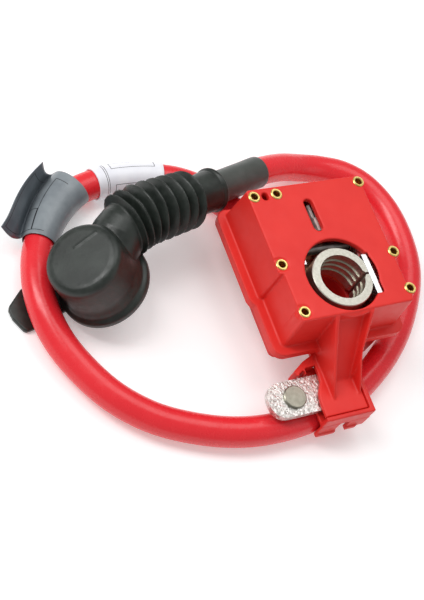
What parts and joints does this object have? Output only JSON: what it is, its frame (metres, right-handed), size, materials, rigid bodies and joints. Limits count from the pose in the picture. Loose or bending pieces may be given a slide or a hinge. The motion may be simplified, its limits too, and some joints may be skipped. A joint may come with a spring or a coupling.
{
  "type": "battery post safety switch",
  "caption": "Battery-post clamp in a red two-part housing with a cut-off charge, a riveted branch tab and a thick red cable ending in a rubber-booted lug.",
  "frame": {"origin": "axis of the battery-post bore, at the clamp ring's face", "axes": "+Z out of the bore's mouth, square to the housing's face; +X across the face towards the clamp's slit; +Y along the face away from the branch arm. The housing lies on its rear cover."},
  "size_m": [0.1899, 0.1376, 0.0465],
  "materials": {
    "red_housing": "moulded, low gloss",
    "red_cover": "moulded, low gloss",
    "red_clip": "moulded, satin",
    "brass_eyelet": "bright",
    "nickel_clamp": "satin nickel plate",
    "bright_steel": "bright zinc plate",
    "copper": "bare copper",
    "tinned_tab": "rough tin plate",
    "rivet_metal": "satin",
    "dark_plastic": "moulded",
    "black_rubber": "matte",
    "cable_jacket": "soft vinyl, glossy",
    "shrink_tube": "shrunk tube, satin",
    "boot_rubber": "moulded, satin",
    "grey_label": "printed film, satin",
    "white_label": "printed film, satin"
  },
  "bodies": {
    "housing": {"housing_body": "red_housing", "rear_cover": "red_cover", "tab_carrier": "red_clip", "cable_gland": "red_cover", "rivet_eyelets": "brass_eyelet", "clamp_ring": "nickel_clamp", "clamp_stud": "bright_steel", "stud_anchor": "bright_steel", "main_busbar": "copper", "branch_tab": "tinned_tab", "tab_rivet": "rivet_metal", "cylinder_sleeve": "bright_steel", "igniter": "brass_eyelet", "igniter_pins": "brass_eyelet", "igniter_socket": "dark_plastic", "output_bar": "copper", "cable_ferrule": "copper", "conductor_ends": "copper", "cable": "cable_jacket", "heat_shrink": "shrink_tube", "terminal_boot": "boot_rubber", "bellows_sleeve": "boot_rubber", "cable_lug": "tinned_tab", "flag_label": "grey_label", "wrap_label": "white_label"},
    "bridge": {"clamp_bridge": "bright_steel"},
    "nut": {"clamp_nut": "bright_steel"},
    "cutter": {"piston": "dark_plastic", "piston_o_ring": "black_rubber", "shear_link": "nickel_clamp"}
  },
  "joints": [
    {"name": "bridge_slide", "type": "slide", "parent": "housing", "child": "bridge", "axis": [1, 0, 0], "range_m": [0, 0.003]},
    {"name": "nut_turn", "type": "hinge", "parent": "bridge", "child": "nut", "pos_m": [0.0162, 0.01645, -0.006], "axis": [1, 0, 0], "range_deg": [0, 1543]},
    {"name": "piston_stroke", "type": "slide", "parent": "housing", "child": "cutter", "axis": [-1, 0, 0], "range_m": [0, 0.009]}
  ],
  "couplings": [
    {"joint": "nut_turn", "follows": "bridge_slide", "rad_per_m": 8976}
  ]
}
